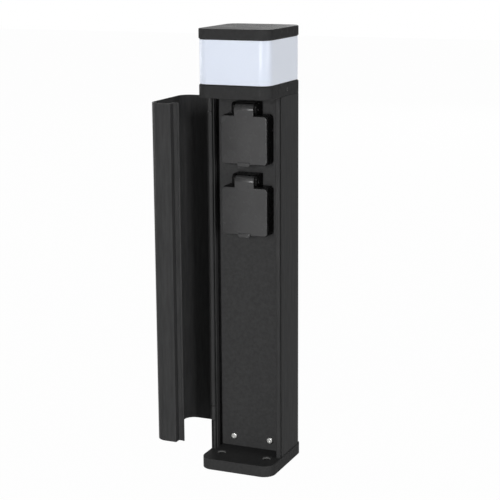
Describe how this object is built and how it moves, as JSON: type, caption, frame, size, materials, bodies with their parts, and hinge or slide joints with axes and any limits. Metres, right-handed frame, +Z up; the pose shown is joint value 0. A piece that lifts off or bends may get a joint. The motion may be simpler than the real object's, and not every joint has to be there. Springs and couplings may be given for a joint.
{
  "type": "garden socket post",
  "caption": "Outdoor power post with a lit head, a hinged front door and sprung-flap sockets above a wiring panel, standing on a bolt-down foot.",
  "frame": {"origin": "centre of the foot's underside", "axes": "+Z up, +X to the right seen from the front, -Y towards the front with the sockets"},
  "size_m": [0.1104, 0.1384, 0.463],
  "materials": {
    "foot_coat": "fine textured black powder coat",
    "black_coat": "fine textured black powder coat",
    "panel_coat": "fine textured black powder coat",
    "head_coat": "fine textured black powder coat",
    "hinge_metal": "black",
    "opal": "opal white, satin gloss",
    "rubber": "matt black",
    "steel": "bright zinc plated",
    "black_steel": "black oxide",
    "brass": "bright",
    "core_aluminium": "as extruded",
    "board": "white solder mask",
    "led": "yellow phosphor",
    "flap_plastic": "satin black",
    "socket_plastic": "satin black",
    "shutter_plastic": "grey",
    "inner_plastic": "dark grey",
    "gland_plastic": "black",
    "white_plastic": "white"
  },
  "bodies": {
    "post": {"adapter_screws": "steel", "bracket_screws": "steel", "collar_grub_screw": "black_steel", "column_profile": "black_coat", "diffuser": "opal", "foot_plate": "foot_coat", "foot_screws": "steel", "front_panel": "panel_coat", "gland_body": "gland_plastic", "gland_dome_nut": "gland_plastic", "gland_locknut": "gland_plastic", "gland_seal": "rubber", "head_adapter": "inner_plastic", "head_collar": "head_coat", "lamp_core": "core_aluminium", "lamp_driver": "white_plastic", "led_boards": "board", "led_chips": "led", "panel_screws": "steel", "terminal_block": "white_plastic", "terminal_screws": "steel", "tie_screws": "steel", "top_cap": "head_coat", "wiring_bracket": "panel_coat", "lower_diffuser_gasket": "rubber", "upper_diffuser_gasket": "rubber", "lower_hinge_knuckle": "hinge_metal", "upper_hinge_knuckle": "hinge_metal", "lower_hinge_pin": "black_steel", "upper_hinge_pin": "black_steel", "lower_centre_screw": "steel", "lower_contact_carrier": "inner_plastic", "lower_earth_clips": "brass", "lower_fixing_screws": "steel", "lower_flange_gasket": "rubber", "lower_flap_pin": "steel", "lower_flap_spring": "steel", "lower_pin_contacts": "brass", "lower_shutter_spring": "steel", "lower_socket_housing": "socket_plastic", "lower_terminal_screws": "steel", "upper_centre_screw": "steel", "upper_contact_carrier": "inner_plastic", "upper_earth_clips": "brass", "upper_fixing_screws": "steel", "upper_flange_gasket": "rubber", "upper_flap_pin": "steel", "upper_flap_spring": "steel", "upper_pin_contacts": "brass", "upper_shutter_spring": "steel", "upper_socket_housing": "socket_plastic", "upper_terminal_screws": "steel"},
    "door": {"door_profile": "black_coat"},
    "upper_cover": {"upper_flap": "flap_plastic", "upper_flap_seal": "rubber"},
    "lower_cover": {"lower_flap": "flap_plastic", "lower_flap_seal": "rubber"},
    "upper_gate": {"upper_shutter": "shutter_plastic"},
    "lower_gate": {"lower_shutter": "shutter_plastic"}
  },
  "joints": [
    {"name": "door_hinge", "type": "hinge", "parent": "post", "child": "door", "pos_m": [-0.0384, -0.014, 0.2186], "axis": [0, 0, -1], "range_deg": [-90, 20]},
    {"name": "upper_flap_hinge", "type": "hinge", "parent": "post", "child": "upper_cover", "pos_m": [0, -0.01, 0.38], "axis": [-1, 0, 0], "range_deg": [0, 95], "stiffness_Nm_per_rad": 0.004, "springref_deg": -34.38, "deforming": ["upper_flap_spring"]},
    {"name": "lower_flap_hinge", "type": "hinge", "parent": "post", "child": "lower_cover", "pos_m": [0, -0.01, 0.306], "axis": [-1, 0, 0], "range_deg": [0, 95], "stiffness_Nm_per_rad": 0.004, "springref_deg": -34.38, "deforming": ["lower_flap_spring"]},
    {"name": "upper_shutter_turn", "type": "hinge", "parent": "post", "child": "upper_gate", "pos_m": [0, 0.0088, 0.349], "axis": [0, -1, 0], "range_deg": [-32, 0], "stiffness_Nm_per_rad": 0.002, "springref_deg": 17.19, "deforming": ["upper_shutter_spring"]},
    {"name": "lower_shutter_turn", "type": "hinge", "parent": "post", "child": "lower_gate", "pos_m": [0, 0.0088, 0.275], "axis": [0, -1, 0], "range_deg": [-32, 0], "stiffness_Nm_per_rad": 0.002, "springref_deg": 17.19, "deforming": ["lower_shutter_spring"]}
  ]
}
